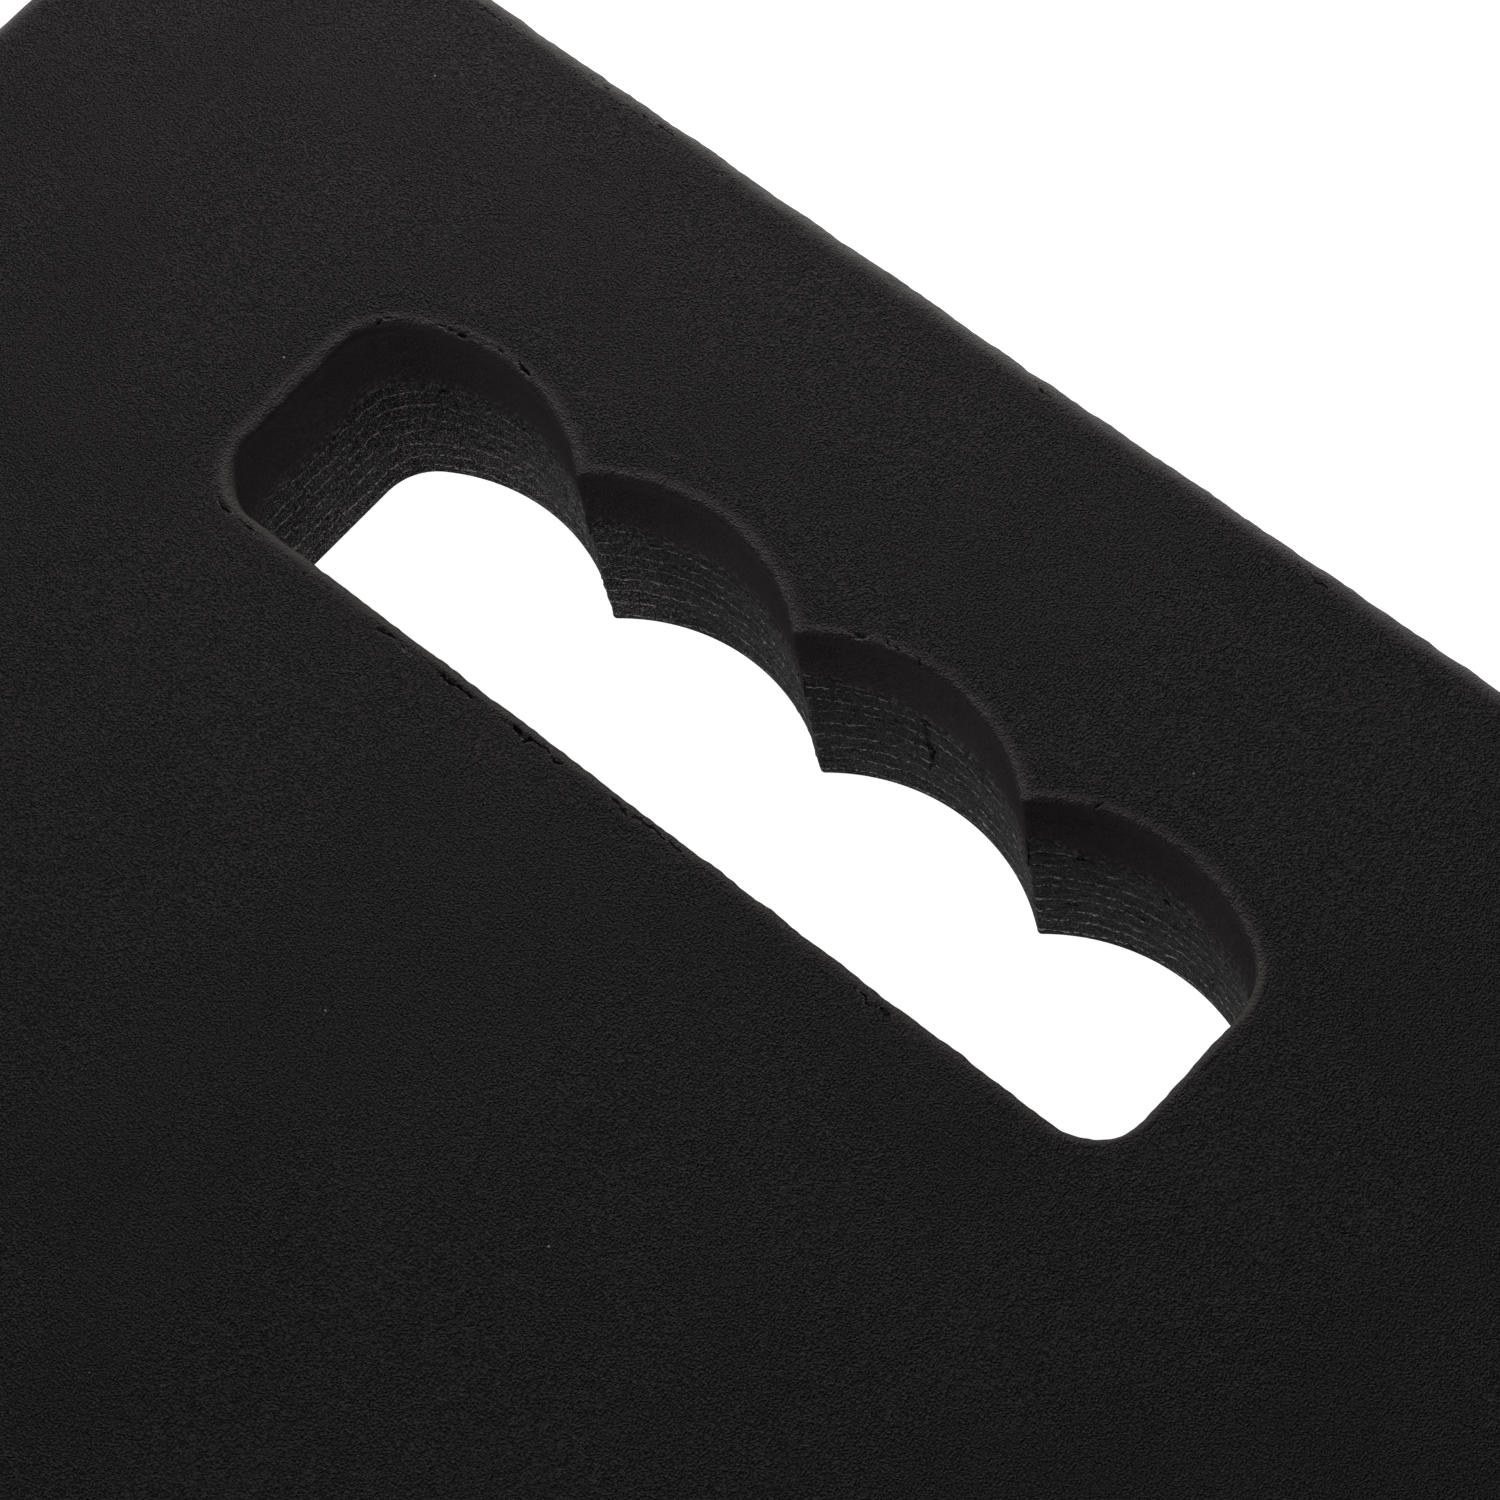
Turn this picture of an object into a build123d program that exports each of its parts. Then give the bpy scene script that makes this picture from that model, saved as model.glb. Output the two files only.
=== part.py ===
from build123d import *
from math import sqrt
import os

os.makedirs("parts", exist_ok=True)

# Foam kneeling board with a four-finger hand hole at one end, in millimetres.
# +X runs across the board, +Y towards the hand-hole end, +Z up. The origin is the middle of the underside.
# The board is a heat-laminated stack: a bottom skin, foam plies, and a top skin that is drawn down over
# the upper plies at the outer edge and in the hand hole.

# Board
BOARD_WIDTH = 220.0
BOARD_LENGTH = 450.0
CORNER_RADIUS = 25.0

# Laminate
PLY_THICKNESS = 2.4
PLY_COUNT = 11
WRAPPED_PLIES = 5  # upper plies that the drawn-down top skin covers
SKIN_THICKNESS = 0.8
DRAWN_SKIN_THICKNESS = 0.6  # the top skin is thinner where it is drawn down a wall
EDGE_ROLL = 1.2  # outer radius of the top skin where it turns down

# Hand hole: a straight palm side, straight ends, and one scallop per finger on the outer side
HOLE_LENGTH = 111.0
HOLE_TO_END = 58.0  # from the palm side of the hole to the end of the board
FINGER_COUNT = 4
FINGER_PITCH = 27.5
SCALLOP_RADIUS = 21.5
CUSP_DISTANCE = 22.0  # from the palm side to the cusps between the scallops
PALM_CORNER_RADIUS = 5.7
FINGER_CORNER_RADIUS = 6.2

# Worked out from the driving dimensions
PALM_Y = BOARD_LENGTH / 2 - HOLE_TO_END
SCALLOP_Y = PALM_Y + CUSP_DISTANCE - sqrt(SCALLOP_RADIUS**2 - (FINGER_PITCH / 2) ** 2)
HOLE_REACH = SCALLOP_Y + SCALLOP_RADIUS - PALM_Y
PLIES_TOP = SKIN_THICKNESS + PLY_COUNT * PLY_THICKNESS
WRAP_Z = PLIES_TOP - WRAPPED_PLIES * PLY_THICKNESS
BOARD_HEIGHT = PLIES_TOP + SKIN_THICKNESS


def board_face(inset, z):
    """The board's plan with its hand hole at height z, cut back by inset from every wall."""
    with BuildSketch(Plane.XY.offset(z)) as hole:
        with Locations((0, SCALLOP_Y)):
            with GridLocations(FINGER_PITCH, 0, FINGER_COUNT, 1):
                Circle(SCALLOP_RADIUS + inset)
        with Locations((0, PALM_Y - inset)):
            Rectangle(
                HOLE_LENGTH + 2 * inset,
                HOLE_REACH + 2 * inset,
                align=(Align.CENTER, Align.MIN),
                mode=Mode.INTERSECT,
            )
        palm_corners = hole.vertices().group_by(Axis.Y)[0]
        fillet(palm_corners, PALM_CORNER_RADIUS + inset)
        left_corner = hole.vertices().sort_by(Axis.X)[0:2].sort_by(Axis.Y)[-1]
        right_corner = hole.vertices().sort_by(Axis.X)[-2:].sort_by(Axis.Y)[-1]
        fillet([left_corner, right_corner], FINGER_CORNER_RADIUS + inset)
    with BuildSketch(Plane.XY.offset(z)) as face:
        RectangleRounded(BOARD_WIDTH - 2 * inset, BOARD_LENGTH - 2 * inset, CORNER_RADIUS - inset)
        add(hole.sketch, mode=Mode.SUBTRACT)
    return face.sketch


def export(piece, name):
    piece.label = name
    export_step(piece, f"parts/{name}.step")
    print(f"{name}: {piece.volume / 1000:.1f} cm3, valid {piece.is_valid}")


# Bottom skin: the plain sheet that the board lies on
with BuildPart() as bottom_skin:
    add(board_face(0, 0))
    extrude(amount=SKIN_THICKNESS)
export(bottom_skin.part, "bottom_skin")

# Foam plies, counted from the bottom. The upper ones stop short of the walls by the drawn skin's
# thickness, and the topmost one is rounded to fill the inside of the rolled edge.
for index in range(PLY_COUNT):
    base_z = SKIN_THICKNESS + index * PLY_THICKNESS
    is_wrapped = index >= PLY_COUNT - WRAPPED_PLIES
    with BuildPart() as ply:
        add(board_face(DRAWN_SKIN_THICKNESS if is_wrapped else 0, base_z))
        extrude(amount=PLY_THICKNESS)
        if index == PLY_COUNT - 1:
            fillet(ply.faces().sort_by(Axis.Z)[-1].edges(), EDGE_ROLL - DRAWN_SKIN_THICKNESS)
    export(ply.part, f"foam_ply_{index + 1:02d}")

# The room inside the top skin, which the wrapped plies fill
with BuildPart() as wrapped_core:
    add(board_face(DRAWN_SKIN_THICKNESS, WRAP_Z))
    extrude(amount=PLIES_TOP - WRAP_Z)
    fillet(wrapped_core.faces().sort_by(Axis.Z)[-1].edges(), EDGE_ROLL - DRAWN_SKIN_THICKNESS)

# Top skin: a sheet with a rolled rim, drawn down the outer edge and the hand hole's wall
with BuildPart() as top_skin:
    add(board_face(0, WRAP_Z))
    extrude(amount=BOARD_HEIGHT - WRAP_Z)
    fillet(top_skin.faces().sort_by(Axis.Z)[-1].edges(), EDGE_ROLL)
    add(wrapped_core.part, mode=Mode.SUBTRACT)
export(top_skin.part, "top_skin")
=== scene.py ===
import math

import bmesh
import bpy
import numpy as np
from mathutils import Matrix, Vector, geometry, noise


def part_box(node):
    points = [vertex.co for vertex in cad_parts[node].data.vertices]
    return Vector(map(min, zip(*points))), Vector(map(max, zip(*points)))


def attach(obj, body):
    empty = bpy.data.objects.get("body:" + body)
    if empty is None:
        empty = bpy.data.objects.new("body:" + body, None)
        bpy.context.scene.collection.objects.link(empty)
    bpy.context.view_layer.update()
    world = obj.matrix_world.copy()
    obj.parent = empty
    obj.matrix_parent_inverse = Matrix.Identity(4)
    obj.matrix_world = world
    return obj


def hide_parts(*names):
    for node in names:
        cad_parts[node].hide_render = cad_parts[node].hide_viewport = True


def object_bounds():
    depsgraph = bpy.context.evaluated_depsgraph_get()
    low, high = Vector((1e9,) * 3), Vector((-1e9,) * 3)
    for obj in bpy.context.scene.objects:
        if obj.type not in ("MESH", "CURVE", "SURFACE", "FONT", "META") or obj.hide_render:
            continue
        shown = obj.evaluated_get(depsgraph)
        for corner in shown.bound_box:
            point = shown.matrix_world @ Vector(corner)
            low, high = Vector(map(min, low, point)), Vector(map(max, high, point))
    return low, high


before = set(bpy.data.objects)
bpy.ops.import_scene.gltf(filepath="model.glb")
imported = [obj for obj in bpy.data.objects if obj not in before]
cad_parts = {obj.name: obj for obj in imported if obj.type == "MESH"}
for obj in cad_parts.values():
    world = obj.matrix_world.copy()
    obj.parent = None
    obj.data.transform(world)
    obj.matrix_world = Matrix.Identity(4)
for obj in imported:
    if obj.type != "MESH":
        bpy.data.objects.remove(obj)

cad_low, cad_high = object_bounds()

# A foam kneeling board with a four-finger hand hole. Lengths are in millimetres until a mesh is made.
MM = 0.001

# Sizes of the board and its layers, from the frame
BOARD_WIDTH = (cad_high.x - cad_low.x) / MM
BOARD_LENGTH = (cad_high.y - cad_low.y) / MM
TOP_Z = cad_high.z / MM
PLIES = sorted(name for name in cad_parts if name.startswith("foam_ply_"))
SKIN_UNDERSIDE_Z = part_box(PLIES[-1])[1].z / MM

# Sizes that the CAD model is driven by
CORNER_RADIUS = 25.0
HOLE_LENGTH = 111.0
HOLE_TO_END = 58.0  # from the palm side of the hand hole to the end of the board
FINGER_COUNT = 4
FINGER_PITCH = 27.5
SCALLOP_RADIUS = 21.5
CUSP_DISTANCE = 22.0  # from the palm side to the cusps between the scallops
PALM_CORNER_RADIUS = 5.7
FINGER_CORNER_RADIUS = 6.2

PALM_Y = BOARD_LENGTH / 2 - HOLE_TO_END
SCALLOP_Y = PALM_Y + CUSP_DISTANCE - math.sqrt(SCALLOP_RADIUS**2 - (FINGER_PITCH / 2) ** 2)

# The ridges between the scallops, which the CAD model leaves sharp
RIDGE_RADIUS = 0.5
RIDGE_GROWTH = 0.45  # how much rounder a ridge gets with each mm into the foam

# The rolled rim and the drawn-down skin
EDGE_ROLL = 0.9  # radius of the hand hole's rim, which is fuller at its -X end
OUTER_ROLL = 2.0
APRON = 5.0  # how far from a wall the face starts to dip towards the rim
DIP_DEPTH = 9.0  # how far below the face the layers still follow that dip
BAND_DEPTH = 11.3  # from the kneeling face to the ragged lower border of the drawn skin
BORDER_RISE = 4.0  # the ragged border comes up by less than this
SKIN_LIP = 0.3  # thickness of the drawn skin at its border
SKIN_WALL = 0.6  # its thickness from LIP_HEIGHT above the border upwards
LIP_HEIGHT = 3.0
LEVELLING = 3.0  # how far in from a wall a ply's faces become flat
SETTLING = 0.12  # how uneven the kneeling face is

# Splits in the foam, with half their width and their depth, and pits
RIM_CRACK_WIDTH = 0.15
RIM_CRACK_DEPTH = 0.3
WALL_CRACK_WIDTH = 0.2
WALL_CRACK_DEPTH = 0.45
PIT_DEPTH = 0.35

# How finely the meshes are divided
HOLE_FINENESS = 4.0  # points per mm along the hand hole's walls
OUTER_FINENESS = 0.6  # and along the outer edge
HAND_END_FINENESS = 4  # times as many points along the end beside the hand hole
FACE_GRID = 6.0  # between the kneeling face's points, away from its walls
FACE_ROWS = (4.0, 3.2, 2.5, 1.9, 1.4, 1.0, 0.7, 0.4, 0.2)  # distances from the rolled rim
ROLL_STEPS = 9
ROLL_FACE_STEPS = 5  # how many of them have the kneeling face's material
OFFSET_STEP = 0.5
OFFSETS = np.arange(0.0, 15.0, OFFSET_STEP)  # distances into the foam at which outlines are worked out

# Roughly how long each stretch of the hand hole's outline is, which sets its number of points
END_SIDE = 12
CORNER_ARC = 9
SCALLOP_ARC = 26
RIDGE_ARC = 2


# ---------------------------------------------------------------- outlines


def arc(centre, radius, start, end, count):
    """Points along an arc, without its last one. Angles are in radians."""
    angles = np.linspace(start, end, count, endpoint=False)
    return np.stack([centre[0] + radius * np.cos(angles), centre[1] + radius * np.sin(angles)], 1)


def line(start, end, count):
    """Points along a straight line, without its last one."""
    t = np.linspace(0, 1, count, endpoint=False)[:, None]
    return np.array(start) * (1 - t) + np.array(end) * t


def hole_outline(offset, fineness):
    """The hand hole's outline, anticlockwise from above, moved into the foam by offset.

    The number of points depends on fineness, in points per mm, and not on the offset.
    """
    half = HOLE_LENGTH / 2 + offset
    palm = PALM_Y - offset
    scallop = SCALLOP_RADIUS + offset
    palm_corner = PALM_CORNER_RADIUS + offset
    finger_corner = FINGER_CORNER_RADIUS + offset
    ridge = RIDGE_RADIUS + RIDGE_GROWTH * offset
    last_x = FINGER_PITCH * (FINGER_COUNT - 1) / 2
    corner_x = half - finger_corner
    corner_y = SCALLOP_Y + math.sqrt((scallop - finger_corner) ** 2 - (corner_x - last_x) ** 2)
    corner_angle = math.atan2(corner_y - SCALLOP_Y, corner_x - last_x)
    ridge_rise = math.sqrt((scallop + ridge) ** 2 - (FINGER_PITCH / 2) ** 2)
    ridge_angle = math.atan2(ridge_rise, -FINGER_PITCH / 2)

    palm_count = round((HOLE_LENGTH - 2 * PALM_CORNER_RADIUS) * fineness)
    end_count = round(END_SIDE * fineness)
    corner_count = round(CORNER_ARC * fineness)
    scallop_count = round(SCALLOP_ARC * fineness)
    ridge_count = round(RIDGE_ARC * fineness) + 2
    quarter = math.pi / 2

    parts = [
        line((palm_corner - half, palm), (half - palm_corner, palm), palm_count),
        arc((half - palm_corner, palm + palm_corner), palm_corner, -quarter, 0, corner_count),
        line((half, palm + palm_corner), (half, corner_y), end_count),
        arc((corner_x, corner_y), finger_corner, 0, corner_angle, corner_count),
    ]
    for finger in reversed(range(FINGER_COUNT)):
        x = FINGER_PITCH * (finger - (FINGER_COUNT - 1) / 2)
        start = corner_angle if finger == FINGER_COUNT - 1 else math.pi - ridge_angle
        end = math.pi - corner_angle if finger == 0 else ridge_angle
        parts.append(arc((x, SCALLOP_Y), scallop, start, end, scallop_count))
        if finger > 0:
            ridge_centre = (x - FINGER_PITCH / 2, SCALLOP_Y + ridge_rise)
            parts.append(arc(ridge_centre, ridge, ridge_angle - math.pi, -ridge_angle, ridge_count))
    parts += [
        arc((-corner_x, corner_y), finger_corner, math.pi - corner_angle, math.pi, corner_count),
        line((-half, corner_y), (-half, palm + palm_corner), end_count),
        arc((palm_corner - half, palm + palm_corner), palm_corner, math.pi, 3 * quarter, corner_count),
    ]
    return np.concatenate(parts)


def board_outline(offset, fineness):
    """The board's outer outline, anticlockwise from above, moved into the foam by offset."""
    x = BOARD_WIDTH / 2 - offset
    y = BOARD_LENGTH / 2 - offset
    radius = CORNER_RADIUS - offset
    quarter = math.pi / 2
    corner_count = round(CORNER_RADIUS * quarter * fineness)
    end_count = round((BOARD_WIDTH - 2 * CORNER_RADIUS) * fineness)
    side_count = round((BOARD_LENGTH - 2 * CORNER_RADIUS) * fineness)
    return np.concatenate([
        line((radius - x, -y), (x - radius, -y), end_count),
        arc((x - radius, radius - y), radius, -quarter, 0, corner_count),
        line((x, radius - y), (x, y - radius), side_count),
        arc((x - radius, y - radius), radius, 0, quarter, corner_count),
        line((x - radius, y), (radius - x, y), end_count * HAND_END_FINENESS),
        arc((radius - x, y - radius), radius, quarter, 2 * quarter, corner_count),
        line((-x, y - radius), (-x, radius - y), side_count),
        arc((radius - x, radius - y), radius, 2 * quarter, 3 * quarter, corner_count),
    ])


def ripple(points, size, seed):
    """Smooth noise, about -1 to 1, with features about size mm across. Each seed is a pattern of its own."""
    shift = Vector((seed * 17.31, seed * -9.73, seed * 5.17))
    values = [noise.noise(Vector(point) / size + shift) for point in points.tolist()]
    stretch = 1.6
    return np.array(values) * stretch


def smoothstep(low, high, values):
    """0 at low and 1 at high, with a smooth change between them. Low may be the larger."""
    t = np.clip((values - low) / (high - low), 0, 1)
    return t * t * (3 - 2 * t)


class Wall:
    """One wall of the board: its outline at any distance into the foam, and what changes along it.

    That is the radius of its rim, how far the face dips there, the height of the drawn skin's border, and
    how open the cut cells are.
    """

    def __init__(self, outline, fineness, air_side, roll, dip, border, coarse):
        self.table = np.stack([outline(offset, fineness) for offset in OFFSETS])
        base = self.table[0]
        tangent = np.roll(base, -1, 0) - np.roll(base, 1, 0)
        tangent /= np.linalg.norm(tangent, axis=1)[:, None]
        self.air = air_side * np.stack([-tangent[:, 1], tangent[:, 0]], 1)
        self.base = base
        self.roll = roll(base)
        self.dip = dip(base)
        self.border_z = border(base)
        self.coarse = coarse(base)

    def at(self, offset, z):
        """One row of points, offset into the foam at height z. Both may differ from point to point.

        Near the kneeling face the layers dip a little towards the rim.
        """
        offset = np.broadcast_to(offset, len(self.base))
        z = np.broadcast_to(z, len(self.base))
        index = np.clip((offset / OFFSET_STEP).astype(int), 0, len(OFFSETS) - 2)
        t = (offset / OFFSET_STEP - index)[:, None]
        rows = np.arange(len(self.base))
        flat = self.table[index, rows] * (1 - t) + self.table[index + 1, rows] * t
        nearness = np.clip(1 - offset / APRON, 0, 1)
        sink = self.dip * nearness**2 * smoothstep(TOP_Z - DIP_DEPTH, TOP_Z, z)
        return np.column_stack([flat, z - sink])

    def push(self, points, distance):
        """Moves a row of points towards the air."""
        moved = points.copy()
        moved[:, :2] += self.air * distance[:, None]
        return moved

    def core_offset(self, z):
        """How far the foam under the drawn skin stands back from the wall at height z."""
        start_z = TOP_Z - self.roll
        up = np.clip((z - start_z) / (SKIN_UNDERSIDE_Z - start_z), 0, 1)
        thickening = np.clip((z - self.border_z) / LIP_HEIGHT, 0, 1)
        thickness = SKIN_LIP + (SKIN_WALL - SKIN_LIP) * thickening
        return thickness + (self.roll - SKIN_WALL) * (1 - np.sqrt(1 - up * up))


def with_z(outline, z):
    return np.column_stack([outline, np.full(len(outline), z)])


# What changes along each wall, for every point of its outline


def hole_roll(outline):
    fuller = 0.25 * smoothstep(10, -45, outline[:, 0])
    return EDGE_ROLL + fuller + 0.1 * ripple(with_z(outline, 0), 9, 1)


def hole_dip(outline):
    """The face dips further towards the hole's -X end."""
    deeper = 0.35 * smoothstep(0, -45, outline[:, 0])
    return 0.25 + deeper + 0.1 * ripple(with_z(outline, 0), 15, 18)


def hole_border(outline):
    """The skin reaches less far down just after each ridge, and further on the other side of the finger."""
    along = outline[:, 0] / FINGER_PITCH + FINGER_COUNT / 2
    across = np.clip(along, 0, FINGER_COUNT - 1e-6) % 1
    on_fingers = smoothstep(PALM_Y + 10, PALM_Y + 20, outline[:, 1])
    steepness = 1.0 + 3.2 * smoothstep(1.4, 2.4, along)
    slope = steepness * (across - 0.5)
    slope -= 1.8 * (1 - smoothstep(0, 0.2, across)) * smoothstep(0.5, 1.0, along)
    places = with_z(outline, 0)
    wander = 0.55 * ripple(places, 6, 2) + 0.2 * ripple(places, 1.4, 3)
    return TOP_Z - BAND_DEPTH - (1 - on_fingers) - slope * on_fingers + wander


def hole_coarse(outline):
    """How open the cut cells are: torn beside finger 1, and smeared by the cutter elsewhere."""
    return smoothstep(-18, -30, outline[:, 0] + 4 * ripple(with_z(outline, 0), 8, 25))


def outer_roll(outline):
    return OUTER_ROLL + 0.2 * ripple(with_z(outline, 0), 12, 4)


def outer_dip(outline):
    return 0.45 + 0.2 * ripple(with_z(outline, 0), 18, 19)


def outer_border(outline):
    places = with_z(outline, 0)
    return TOP_Z - BAND_DEPTH + 0.8 * ripple(places, 14, 5) + 0.25 * ripple(places, 2, 6)


def outer_coarse(outline):
    return 0.3 + 0.3 * ripple(with_z(outline, 0), 40, 26)


# ---------------------------------------------------------------- damage


def on_finger(finger, angle, inset, *height):
    """A place beside a finger's scallop, at an angle in degrees from +X and an inset into the foam."""
    x = FINGER_PITCH * (finger - (FINGER_COUNT + 1) / 2)
    reach = SCALLOP_RADIUS + inset
    turn = math.radians(angle)
    return (x + reach * math.cos(turn), SCALLOP_Y + reach * math.sin(turn), *height)


def on_palm_side(x, inset):
    """A place beside the hand hole's straight side."""
    return (x, PALM_Y - inset)


def on_end(x, inset):
    """A place at the end of the board beside the hand hole."""
    return (x, BOARD_LENGTH / 2 - inset)


# Where the skin has split as it was rolled over, seen from above
RIM_CRACKS = [
    (on_finger(1, 127, 0.5), on_finger(1, 124, 0.7)),
    (on_finger(1, 112, 0.9), on_finger(1, 104, 0.5)),
    (on_finger(1, 98, 0.9), on_finger(1, 93, 0.8)),
    (on_finger(1, 88, 0.8), on_finger(1, 83, 0.9)),
    (on_finger(1, 79, 1.1), on_finger(1, 78, 1.0)),
    (on_finger(1, 66, 1.6), on_finger(1, 65, 1.5)),
    (on_finger(3, 117, 1.0), on_finger(3, 112, 0.8)),
    (on_finger(3, 107, 0.9), on_finger(3, 104, 0.5)),
    (on_finger(3, 99, 0.5), on_finger(3, 97, 0.2)),
    (on_finger(4, 112, 0.8), on_finger(4, 111, 0.9)),
    (on_palm_side(-52.5, 0.9), on_palm_side(-51, 1.3)),
    (on_palm_side(-50, 1.3), on_palm_side(-47.5, 1.4)),
    (on_palm_side(-40.6, 1.6), on_palm_side(-40.2, 1.6)),
    (on_palm_side(-31, 1.5), on_palm_side(-26, 1.4)),
    (on_palm_side(-23, 1.2), on_palm_side(-19, 1.3)),
    (on_palm_side(-14, 1.3), on_palm_side(-8, 1.1)),
    (on_palm_side(-2, 0.9), on_palm_side(7, 0.8)),
    (on_palm_side(28, 1.3), on_palm_side(32, 1.4)),
    (on_end(-72, 2.2), on_end(-68, 1.8)),
    (on_end(-57, 1.2), on_end(-55, 1.6)),
    (on_end(-50, 1.8), on_end(-46, 1.3)),
    (on_end(-40, 2.0), on_end(-39, 2.2)),
    (on_end(-18.6, 1.3), on_end(-16.2, 1.8)),
    (on_end(0, 1.5), on_end(2, 2.0)),
    (on_end(31, 1.4), on_end(35, 1.7)),
]

# Splits in the cut foam of the hand hole's wall, each between two places with their heights
WALL_CRACKS = [
    (on_finger(3, 98.2, 0, 16.4), on_finger(3, 97.4, 0, 7.6)),
    (on_finger(2, 97, 0, 18.2), on_finger(2, 93.5, 0, 17.2)),
    (on_finger(4, 121, 0, 7.2), on_finger(4, 120, 0, 6.8)),
    (on_finger(4, 95, 0, 15.6), on_finger(4, 93.5, 0, 15.3)),
    (on_finger(1, 93, 0, 16.2), on_finger(1, 90.5, 0, 15.8)),
]


def split(points, cracks, width):
    """1 in a crack, falling to 0 beside it. A crack is a line between two places, which wanders."""
    count = len(cracks[0][0])
    wobble = np.stack([ripple(points, 1.1, 20 + axis) for axis in range(count)], 1) * 0.35
    places = points[:, :count] + wobble
    width = width * (1 + 0.5 * ripple(points, 0.8, 24))
    depth = np.zeros(len(points))
    for start, end in np.array(cracks):
        along = np.clip((places - start) @ (end - start) / ((end - start) @ (end - start)), 0, 1)
        distance = np.linalg.norm(places - start - along[:, None] * (end - start), axis=1)
        depth = np.maximum(depth, np.exp(-((distance / width) ** 2)))
    return depth


# ---------------------------------------------------------------- meshes


# What is stored at each point for the materials, from 0 to 1: the rim, paler partly as stretched skin and
# partly as a painted highlight, torn foam, a crack or pit, painted near-black as shade, how open the cut
# cells are, and the height in a ply from its lower weld to its upper one
MARKS = ("rim", "bead", "crack", "coarse", "layer")


class Shell:
    """Collects rows of points and joins them into one closed mesh.

    Each face has a slot, the number of its material on the piece.
    """

    def __init__(self):
        self.points = []
        self.faces = []
        self.slots = []
        self.marks = {mark: [] for mark in MARKS}
        self.count = 0

    def row(self, points, **marks):
        index = np.arange(self.count, self.count + len(points))
        self.points.append(points)
        for mark in MARKS:
            self.marks[mark].append(np.broadcast_to(marks.get(mark, 0.0), len(points)))
        self.count += len(points)
        return index

    def add(self, faces, slot):
        self.faces += faces.tolist()
        self.slots += [slot] * len(faces)

    def bridge(self, rows, slot=0):
        """Quads between each row and the next. Every row goes once round."""
        for first, second in zip(rows, rows[1:]):
            self.add(np.stack([first, np.roll(first, -1), np.roll(second, -1), second], 1), slot)

    def fill(self, outer, inner, extra=None, slot=1):
        """A face between an outer row and the hand hole's row, through the extra points."""
        every = np.concatenate(self.points)
        chosen = [outer, inner]
        if extra is not None:
            chosen.append(self.row(extra))
            every = np.concatenate([every, extra])
        ids = np.concatenate(chosen)
        flat = every[ids][:, :2]
        loops = []
        start = 0
        for loop in (outer, inner):
            numbers = np.arange(start, start + len(loop))
            loops += np.stack([numbers, np.roll(numbers, -1)], 1).tolist()
            start += len(loop)
        made = geometry.delaunay_2d_cdt([Vector(p) for p in flat.tolist()], loops, [], 1, 1e-6)
        new_points, _, triangles, sources = made[:4]
        assert len(new_points) == len(flat)
        source = np.array([s[0] for s in sources])
        triangles = source[np.array(triangles)]
        hole_points = flat[len(outer) : len(outer) + len(inner)]
        middles = flat[triangles].mean(1)
        is_inner = ((triangles >= len(outer)) & (triangles < len(outer) + len(inner))).all(1)
        kept = [not (near and inside(middle, hole_points)) for near, middle in zip(is_inner, middles)]
        self.add(ids[triangles[kept]], slot)

    def build(self, name):
        mesh = bpy.data.meshes.new(name)
        mesh.from_pydata((np.concatenate(self.points) * MM).tolist(), [], self.faces)
        mesh.polygons.foreach_set("material_index", np.array(self.slots, np.int32))
        for mark, values in self.marks.items():
            attribute = mesh.attributes.new(mark, "FLOAT", "POINT")
            attribute.data.foreach_set("value", np.concatenate(values).astype(np.float32))
        work = bmesh.new()
        work.from_mesh(mesh)
        bmesh.ops.recalc_face_normals(work, faces=work.faces)
        work.to_mesh(mesh)
        work.free()
        mesh.shade_smooth()
        piece = bpy.data.objects.new(name, mesh)
        bpy.context.scene.collection.objects.link(piece)
        return piece


def inside(point, outline):
    """Whether a point is within a closed outline."""
    ends = np.roll(outline, -1, 0)
    crosses = (outline[:, 1] > point[1]) != (ends[:, 1] > point[1])
    start, end = outline[crosses], ends[crosses]
    x = start[:, 0] + (point[1] - start[:, 1]) * (end[:, 0] - start[:, 0]) / (end[:, 1] - start[:, 1])
    return np.count_nonzero(x > point[0]) % 2 == 1


def grid_points(z, spacing, outer_points, hole_points):
    """Points over the board, clear of its rim and of the hand hole's."""
    xs = np.arange(-BOARD_WIDTH / 2 + spacing, BOARD_WIDTH / 2, spacing)
    ys = np.arange(-BOARD_LENGTH / 2 + spacing, BOARD_LENGTH / 2, spacing)
    flat = np.stack(np.meshgrid(xs, ys), -1).reshape(-1, 2)
    loops = np.concatenate([outer_points, hole_points])[::6, :2]
    clear = np.array([np.hypot(*(loops - point).T).min() > spacing * 0.5 for point in flat])
    within = np.array([inside(point, outer_points[:, :2]) for point in flat])
    out_of_hole = np.array([not inside(point, hole_points[:, :2]) for point in flat])
    flat = flat[clear & within & out_of_hole]
    return np.column_stack([flat, np.full(len(flat), z)])


def settle(points):
    """Adds the faint unevenness of the kneeling face."""
    flat = points * [1, 1, 0]
    points[:, 2] += SETTLING * (ripple(flat, 38, 7) + 0.4 * ripple(flat, 11, 8) - 1)
    return points


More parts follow.
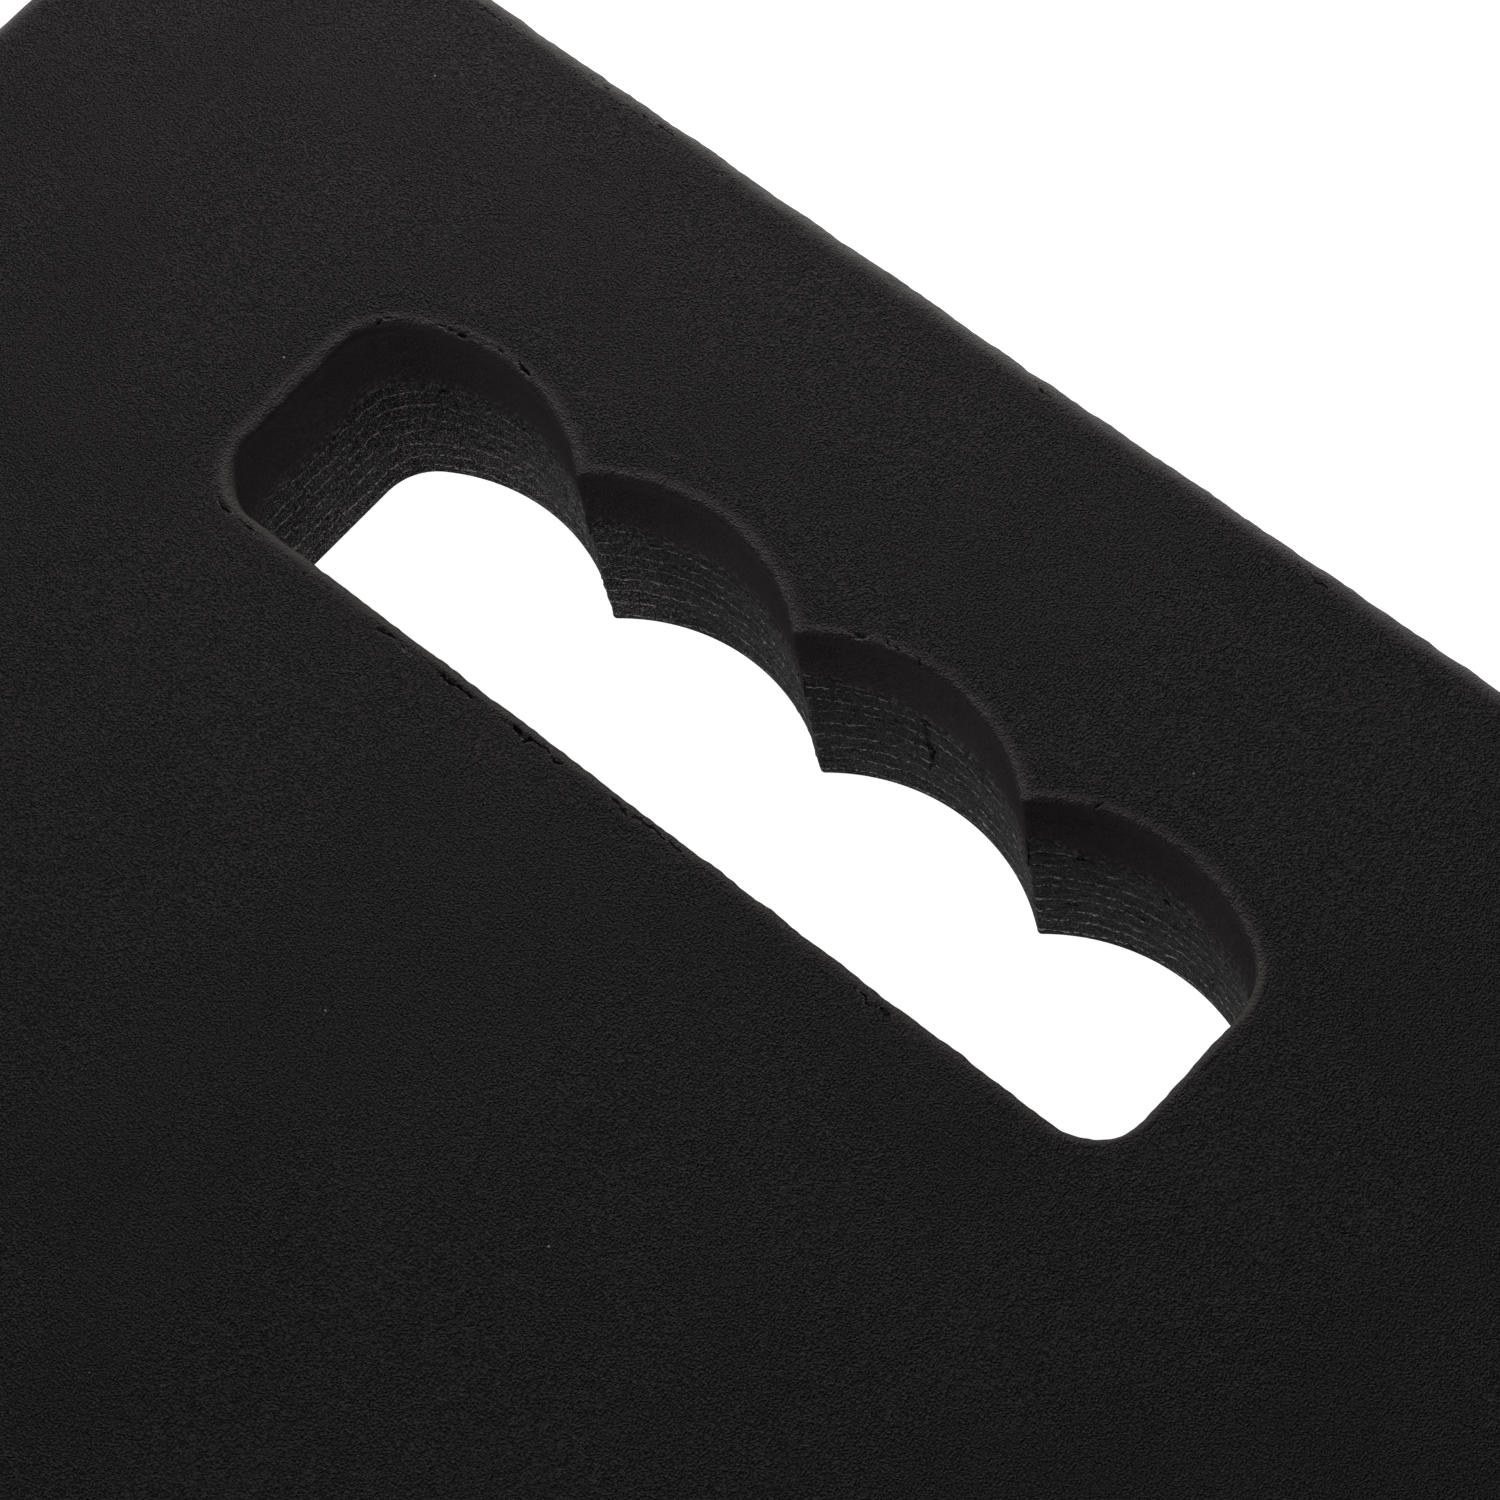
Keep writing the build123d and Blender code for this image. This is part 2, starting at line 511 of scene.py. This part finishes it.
def skin_rows(shell, wall, band_rows, slot):
    """The top skin along one wall: face, roll, drawn band, border, and back up inside.

    The face's own material, slot 0, ends on the roll. The given slot is for the skin from there down.
    """
    rows = []
    for beyond in FACE_ROWS:
        points = settle(wall.at(wall.roll + beyond, TOP_Z))
        crack = split(points, RIM_CRACKS, RIM_CRACK_WIDTH)
        points[:, 2] -= RIM_CRACK_DEPTH * crack
        # The rim mark sets where the paler colour goes: partly stretched skin, partly a painted highlight
        rim = 0.3 * float(1 - smoothstep(0, 1.0, beyond))
        rows.append(shell.row(points, rim=rim, crack=crack))
    for step in range(ROLL_STEPS + 1):
        turn = math.pi / 2 * (1 - step / ROLL_STEPS)
        z = TOP_Z - wall.roll * (1 - math.sin(turn))
        points = wall.at(wall.roll * (1 - math.cos(turn)), z)
        crack = split(points, RIM_CRACKS, RIM_CRACK_WIDTH)
        rough = 0.05 * ripple(points, 0.9, 9) + 0.09 * ripple(points, 3.5, 10) - RIM_CRACK_DEPTH * crack
        points = wall.push(points, rough * math.cos(turn))
        points[:, 2] += rough * math.sin(turn)
        rows.append(shell.row(points, rim=float(smoothstep(2.0, 1.0, turn)), crack=crack))
    last_face_row = len(FACE_ROWS) + ROLL_FACE_STEPS
    start_z = TOP_Z - wall.roll
    for step in range(1, band_rows + 1):
        share = step / band_rows
        points = wall.at(0, start_z * (1 - share) + wall.border_z * share)
        swell = 0.08 * ripple(points, 5, 10) + 0.03 * ripple(points, 0.9, 11)
        lip = 0.14 * smoothstep(0.93, 1.0, share) * (1 + ripple(points, 0.9, 12))
        bead = float(smoothstep(0.7, 1.0, share)) ** 2
        # The band's top takes the rim's paler colour too, partly as a painted highlight
        rim = 0.8 * float(1 - smoothstep(0, 0.15, share))
        rows.append(shell.row(wall.push(points, swell + lip), bead=bead, rim=rim))
    rows.append(shell.row(wall.at(SKIN_LIP, wall.border_z + 0.1), bead=1.0))
    rows.append(shell.row(wall.at(SKIN_WALL, wall.border_z + LIP_HEIGHT)))
    rows.append(shell.row(wall.at(SKIN_WALL, start_z)))
    for turn in (math.pi / 6, math.pi / 3, math.pi / 2):
        z = start_z + (SKIN_UNDERSIDE_Z - start_z) * math.sin(turn)
        rows.append(shell.row(wall.at(wall.core_offset(z), z)))
    rows.append(shell.row(wall.at(wall.roll + FACE_ROWS[0], SKIN_UNDERSIDE_Z)))
    shell.bridge(rows[: last_face_row + 1])
    shell.bridge(rows[last_face_row:], slot)
    return rows[0], rows[-1]


def make_skin(name, hole, outer):
    """The top skin. Slot 0 is its face, slot 1 its band in the hand hole, and slot 2 its band outside."""
    shell = Shell()
    hole_face, hole_under = skin_rows(shell, hole, band_rows=20, slot=1)
    outer_face, outer_under = skin_rows(shell, outer, band_rows=9, slot=2)
    every = np.concatenate(shell.points)
    face_points = settle(grid_points(TOP_Z, FACE_GRID, every[outer_face], every[hole_face]))
    shell.fill(outer_face, hole_face, face_points, slot=0)
    shell.fill(outer_under, hole_under)
    return shell.build(name)


def interface_wave(wall, level):
    """How far the weld between two layers wanders up and down along a wall."""
    places = with_z(wall.base, level * 10)
    return 0.38 * ripple(places, 9, 13) + 0.12 * ripple(places, 2.2, 14)


def ply_rows(shell, wall, low, high, steps, level):
    """A ply's edge along one wall. The welds at its two faces wander with the layers beside it.

    Slot 0 is the edge, and slot 1 the outermost strip of the ply's lower face.
    """
    low_z = low + interface_wave(wall, level) * (level > 0)
    high_z = high + interface_wave(wall, level + 1)
    rows = [shell.row(wall.at(wall.core_offset(high) + LEVELLING, high))]
    for step in range(steps + 1):
        share = 1 - step / steps
        z = high_z * share + low_z * (1 - share)
        covered = smoothstep(-0.1, 0.3, z - wall.border_z)
        points = wall.at(covered * wall.core_offset(z), z)
        crack = split(points, WALL_CRACKS, WALL_CRACK_WIDTH) * (1 - covered)
        under_border = np.exp(-(((z - wall.border_z + 0.5) / 0.5) ** 2))
        pitted = under_border * smoothstep(0.65, 1.0, ripple(points, 1.5, 21))
        cut = 0.10 * ripple(points, 5, 10) + 0.06 * ripple(points, 0.8, 15) + 0.05 * ripple(points, 0.45, 16)
        near_weld = math.exp(-((share * (high - low) / 0.25) ** 2))
        torn = smoothstep(0.15, 0.6, ripple(points * [1, 1, 0] + [0, 0, level * 7], 0.8, 17)) * near_weld
        raised = (cut + 0.16 * torn) * smoothstep(0, 1.2, z)
        relief = raised - WALL_CRACK_DEPTH * crack - PIT_DEPTH * pitted
        points = wall.push(points, relief * (1 - covered))
        # Pits share the crack mark, which the material paints near-black as shade
        marks = {"bead": torn * (1 - covered), "crack": np.maximum(crack, pitted), "coarse": wall.coarse}
        rows.append(shell.row(points, layer=share, **marks))
    rows.append(shell.row(wall.at(wall.core_offset(low) + LEVELLING, low)))
    shell.bridge(rows[:-1])
    shell.bridge(rows[-2:], slot=1)
    return rows[0], rows[-1]


def make_ply(name, node, level, hole, outer):
    """One layer of the stack, where level 0 is the bottom skin.

    A ply whose edges are all behind the drawn skin has fewer rows.
    """
    low, high = (corner.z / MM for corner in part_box(node))
    shell = Shell()
    is_buried = low > TOP_Z - BAND_DEPTH + BORDER_RISE
    hole_steps, outer_steps = (3, 2) if is_buried else (9, 6)
    hole_rows = ply_rows(shell, hole, low, high, hole_steps, level)
    outer_rows = ply_rows(shell, outer, low, high, outer_steps, level)
    for outer_row, hole_row in zip(outer_rows, hole_rows):
        shell.fill(outer_row, hole_row)
    return shell.build(name)


# ---------------------------------------------------------------- materials


# How pale the foam is where something has changed it, and where a highlight or shade is painted on it, from
# 0 to 1
# Paler rim: partly the stretched skin's own colour, partly a painted highlight
RIM_AND_HIGHLIGHT_TONE = 0.064
BORDER_FLECK_TONE = 0.13
TORN_SKIN_TONE = 0.10
# Near-black in cracks and pits: painted shade in the recesses
CRACK_SHADE_TONE = 0.002
DUST_TONE = 0.25

# And in the cut foam and on the underside
CELL_TONES = (0.001, 0.004)
# Pale cell specks, weld dashes and torn foam: partly the foam's own colour, partly painted glints
CELL_FLECK_AND_GLINT_TONE = 0.37
WELD_AND_GLINT_TONE = 0.36
TORN_FOAM_AND_GLINT_TONE = 0.40
UNDERSIDE_TONES = (0.018, 0.036)
SCUFF_TONE = 0.05


class Nodes:
    """A short way to write a material's nodes."""

    def __init__(self, name):
        self.material = bpy.data.materials.new(name)
        self.material.use_nodes = True
        self.tree = self.material.node_tree
        self.surface = self.tree.nodes["Principled BSDF"]

    def add(self, kind, **settings):
        node = self.tree.nodes.new(kind)
        for key, value in settings.items():
            if key in node.inputs:
                self.set(node, key, value)
            else:
                setattr(node, key, value)
        return node

    def set(self, node, key, value):
        if isinstance(value, bpy.types.NodeSocket):
            self.tree.links.new(value, node.inputs[key])
        else:
            node.inputs[key].default_value = value

    def math(self, operation, first, second, clamp=False):
        node = self.add("ShaderNodeMath", operation=operation, use_clamp=clamp)
        self.set(node, 0, first)
        self.set(node, 1, second)
        return node.outputs[0]

    def noise(self, size, detail=2.0, roughness=0.5, vector=None):
        """Noise with features about size mm across."""
        node = self.add("ShaderNodeTexNoise", Scale=1 / (size * MM), Detail=detail, Roughness=roughness)
        self.set(node, "Vector", vector or self.place())
        return node.outputs["Fac"]

    def place(self):
        return self.add("ShaderNodeTexCoord").outputs["Object"]

    def mark(self, name):
        """One of the MARKS stored at the mesh's points."""
        return self.add("ShaderNodeAttribute", attribute_name=name).outputs["Fac"]

    def between(self, value, low, high):
        """0 at low and 1 at high, with a smooth change between them. Low may be the larger."""
        node = self.add("ShaderNodeMapRange", interpolation_type="SMOOTHSTEP")
        self.set(node, "Value", value)
        self.set(node, "From Min", low)
        self.set(node, "From Max", high)
        return node.outputs["Result"]

    def blend(self, share, first, second):
        node = self.add("ShaderNodeMix", data_type="RGBA")
        self.set(node, 0, share)
        self.set(node, 6, first)
        self.set(node, 7, second)
        return node.outputs[2]

    def bump(self, height, distance, strength=1.0, normal=None):
        node = self.add("ShaderNodeBump", Height=height, Distance=distance * MM, Strength=strength)
        if normal is not None:
            self.set(node, "Normal", normal)
        return node.outputs["Normal"]


def grey(level):
    """A near-neutral colour, very slightly towards red, as black foam is."""
    return (level * 1.11, level, level * 0.99, 1.0)


def skin_material(name, tone, contrast, shine):
    """Pebbled closed-cell skin, paler over the rim, partly as stretched skin and partly as a painted
    highlight, and painted near-black in its cracks as shade.

    Tone is its colour's level, and contrast how far the grain goes from it.
    """
    n = Nodes(name)
    grain = n.noise(0.21, detail=1.0)
    clouds = n.noise(14.0, detail=3.0)
    crack = n.mark("crack")
    base = n.blend(n.between(clouds, 0.3, 0.7), grey(0.9 * tone), grey(1.1 * tone))
    base = n.blend(n.between(grain, 0.5, 0.66), base, grey((1 + contrast) * tone))
    base = n.blend(n.between(grain, 0.47, 0.34), base, grey((1 - contrast / 2) * tone))
    # Paler rim: partly stretched skin, partly a painted highlight
    base = n.blend(n.mark("rim"), base, grey(RIM_AND_HIGHLIGHT_TONE))
    fleck = n.math("MULTIPLY", n.mark("bead"), n.between(n.noise(0.5), 0.5, 0.6), clamp=True)
    base = n.blend(fleck, base, grey(BORDER_FLECK_TONE))
    torn_edge = n.math("MULTIPLY", n.between(crack, 0.08, 0.3), n.between(n.noise(0.4), 0.5, 0.6))
    base = n.blend(torn_edge, base, grey(TORN_SKIN_TONE))
    # Cracks painted near-black as shade
    base = n.blend(n.between(crack, 0.35, 0.7), base, grey(CRACK_SHADE_TONE))
    base = n.blend(dust(n), base, grey(DUST_TONE))
    n.set(n.surface, "Base Color", base)
    n.surface.inputs["Roughness"].default_value = 0.5
    n.surface.inputs["Specular IOR Level"].default_value = shine
    fine_bump = n.bump(grain, 0.5)
    n.set(n.surface, "Normal", n.bump(n.noise(1.2, detail=1.0), 0.2, 0.6, fine_bump))
    return n.material


def dust(n):
    """A few tiny pale specks, about spacing mm apart. Their radius is a share of that."""
    spacing = 9.0
    radius = 0.013
    cell = n.add("ShaderNodeTexVoronoi", Scale=1 / (spacing * MM), Vector=n.place())
    return n.math("LESS_THAN", cell.outputs["Distance"], radius)


def ply_material():
    """Cut foam: open cells that catch the light in short level specks, and pale dashes along the welds; both
    are partly the foam's own colour and partly painted glints, and cracks and pits are painted near-black as
    shade.
    """
    n = Nodes("foam_cut")
    flattened = n.add("ShaderNodeMapping", Vector=n.place())
    flattened.inputs["Scale"].default_value = (1.0, 1.0, 1.7)
    flattened = flattened.outputs["Vector"]
    cells = n.noise(0.18, detail=2.0, roughness=0.6, vector=flattened)
    layer = n.mark("layer")
    base = n.blend(n.between(cells, 0.38, 0.56), grey(CELL_TONES[0]), grey(CELL_TONES[1]))
    # Pale specks: partly open cells, partly painted glints
    flecks_and_glints = n.math("MULTIPLY", n.between(cells, 0.595, 0.64), n.between(n.mark("coarse"), -0.9, 1.0))
    base = n.blend(flecks_and_glints, base, grey(CELL_FLECK_AND_GLINT_TONE))
    # Weld dashes: partly pale welds, partly painted glints
    low_weld = n.between(layer, 0.11, 0.03)
    weld = n.math("ADD", low_weld, n.between(layer, 0.94, 0.985), clamp=True)
    dashes = n.between(n.noise(0.38, detail=2.0, vector=flattened), 0.51, 0.57)
    strong = n.between(n.noise(3.0, detail=1.0), 0.25, 0.58)
    weld = n.math("MULTIPLY", weld, strong)
    base = n.blend(n.math("MULTIPLY", weld, dashes), base, grey(WELD_AND_GLINT_TONE))
    # Torn foam at the welds: partly pale foam, partly painted glints
    torn = n.math("MULTIPLY", n.mark("bead"), n.between(cells, 0.5, 0.6), clamp=True)
    base = n.blend(torn, base, grey(TORN_FOAM_AND_GLINT_TONE))
    # Cracks and pits painted near-black as shade
    base = n.blend(n.between(n.mark("crack"), 0.4, 0.75), base, grey(CRACK_SHADE_TONE))
    n.set(n.surface, "Base Color", base)
    n.surface.inputs["Roughness"].default_value = 0.7
    n.surface.inputs["Specular IOR Level"].default_value = 0.08
    n.set(n.surface, "Normal", n.bump(cells, 0.3))
    return n.material


def underside_material():
    """The plain skin that the board lies on, with a coarser grain and scuffs."""
    n = Nodes("foam_underside")
    grain = n.noise(0.45, detail=3.0, roughness=0.6)
    scuffs = n.noise(30.0, detail=6.0, roughness=0.7)
    base = n.blend(n.between(grain, 0.4, 0.7), grey(UNDERSIDE_TONES[0]), grey(UNDERSIDE_TONES[1]))
    base = n.blend(n.math("MULTIPLY", n.between(scuffs, 0.52, 0.72), 0.5), base, grey(SCUFF_TONE))
    n.set(n.surface, "Base Color", base)
    n.surface.inputs["Roughness"].default_value = 0.7
    n.surface.inputs["Specular IOR Level"].default_value = 0.03
    n.set(n.surface, "Normal", n.bump(grain, 0.3))
    return n.material


# ---------------------------------------------------------------- the board

hole = Wall(hole_outline, HOLE_FINENESS, 1, hole_roll, hole_dip, hole_border, hole_coarse)
outer = Wall(board_outline, OUTER_FINENESS, -1, outer_roll, outer_dip, outer_border, outer_coarse)

# The skin is duller, and keeps less of its grain, where it is drawn down a wall
SKIN = skin_material("foam_skin", tone=0.0175, contrast=1.1, shine=0.11)
HOLE_SKIN = skin_material("foam_skin_in_hole", tone=0.052, contrast=0.4, shine=0.0)
EDGE_SKIN = skin_material("foam_skin_on_edge", tone=0.028, contrast=0.7, shine=0.05)
CUT = ply_material()
UNDERSIDE = underside_material()


def place_piece(piece, node, slot, *materials):
    """Gives a piece its materials, and lets it stand for a node of the CAD model."""
    for material in materials:
        piece.data.materials.append(material)
    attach(piece, "root")
    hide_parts(node)


place_piece(make_skin("kneeling_skin", hole, outer), "top_skin", "top_skin", SKIN, HOLE_SKIN, EDGE_SKIN)
for number, node in enumerate(PLIES, start=1):
    place_piece(make_ply(f"ply_{number:02d}", node, number, hole, outer), node, "foam", CUT)
underside = make_ply("underside_skin", "bottom_skin", 0, hole, outer)
place_piece(underside, "bottom_skin", "bottom_skin", CUT, UNDERSIDE)


# ---------------------------------------------------------------- stage


def make_floor():
    """A plain white floor that glows a little, like a light table."""
    half = 4.0
    corners = [(-half, -half, 0), (half, -half, 0), (half, half, 0), (-half, half, 0)]
    mesh = bpy.data.meshes.new("floor")
    mesh.from_pydata(corners, [], [(0, 1, 2, 3)])
    floor = bpy.data.objects.new("floor", mesh)
    bpy.context.scene.collection.objects.link(floor)
    gap = 0.5 * MM
    floor.location.z = cad_low.z - gap
    n = Nodes("floor_white")
    n.surface.inputs["Base Color"].default_value = (0.4, 0.4, 0.4, 1)
    n.surface.inputs["Roughness"].default_value = 0.9
    n.surface.inputs["Emission Color"].default_value = (1, 1, 1, 1)
    n.surface.inputs["Emission Strength"].default_value = 1.0
    mesh.materials.append(n.material)


def make_light(name, size, power, place, target):
    """A round lamp that shines from place towards target."""
    data = bpy.data.lights.new(name, "AREA")
    data.shape = "DISK"
    data.size = size
    data.energy = power
    light = bpy.data.objects.new(name, data)
    light.location = place
    light.rotation_euler = (Vector(target) - Vector(place)).to_track_quat("-Z", "Y").to_euler()
    light.visible_camera = False
    bpy.context.scene.collection.objects.link(light)


def make_world():
    """Dim, even studio surround."""
    world = bpy.data.worlds.new("studio")
    bpy.context.scene.world = world
    world.use_nodes = True
    background = world.node_tree.nodes["Background"]
    background.inputs["Color"].default_value = (1, 1, 1, 1)
    background.inputs["Strength"].default_value = 0.115


def make_camera():
    """Looks down on the hand hole, off the board's axis and rolled a little."""
    azimuth = math.radians(53.39)
    elevation = math.radians(61.90)
    roll = math.radians(-13.14)
    distance = 437.0 * MM
    target = Vector((4.9, PALM_Y + 10.6, TOP_Z)) * MM
    back = Vector((
        math.sin(azimuth) * math.cos(elevation),
        -math.cos(azimuth) * math.cos(elevation),
        math.sin(elevation),
    ))
    data = bpy.data.cameras.new("camera")
    data.sensor_width = 36.0
    data.lens = 115.6
    data.clip_start = 0.01
    camera = bpy.data.objects.new("camera", data)
    turn = (-back).to_track_quat("-Z", "Y").to_matrix().to_4x4() @ Matrix.Rotation(roll, 4, "Z")
    camera.matrix_world = Matrix.Translation(target + back * distance) @ turn
    bpy.context.scene.collection.objects.link(camera)
    bpy.context.scene.camera = camera


make_floor()
make_world()
make_light("key", size=0.06, power=0.56, place=(-0.149, 0.362, 0.174), target=(-0.02, 0.17, 0.028))
make_light("side", size=0.5, power=3.6, place=(-0.9, -0.2, 0.9), target=(0, 0.17, 0))
make_camera()
bpy.context.scene.view_settings.view_transform = "Standard"
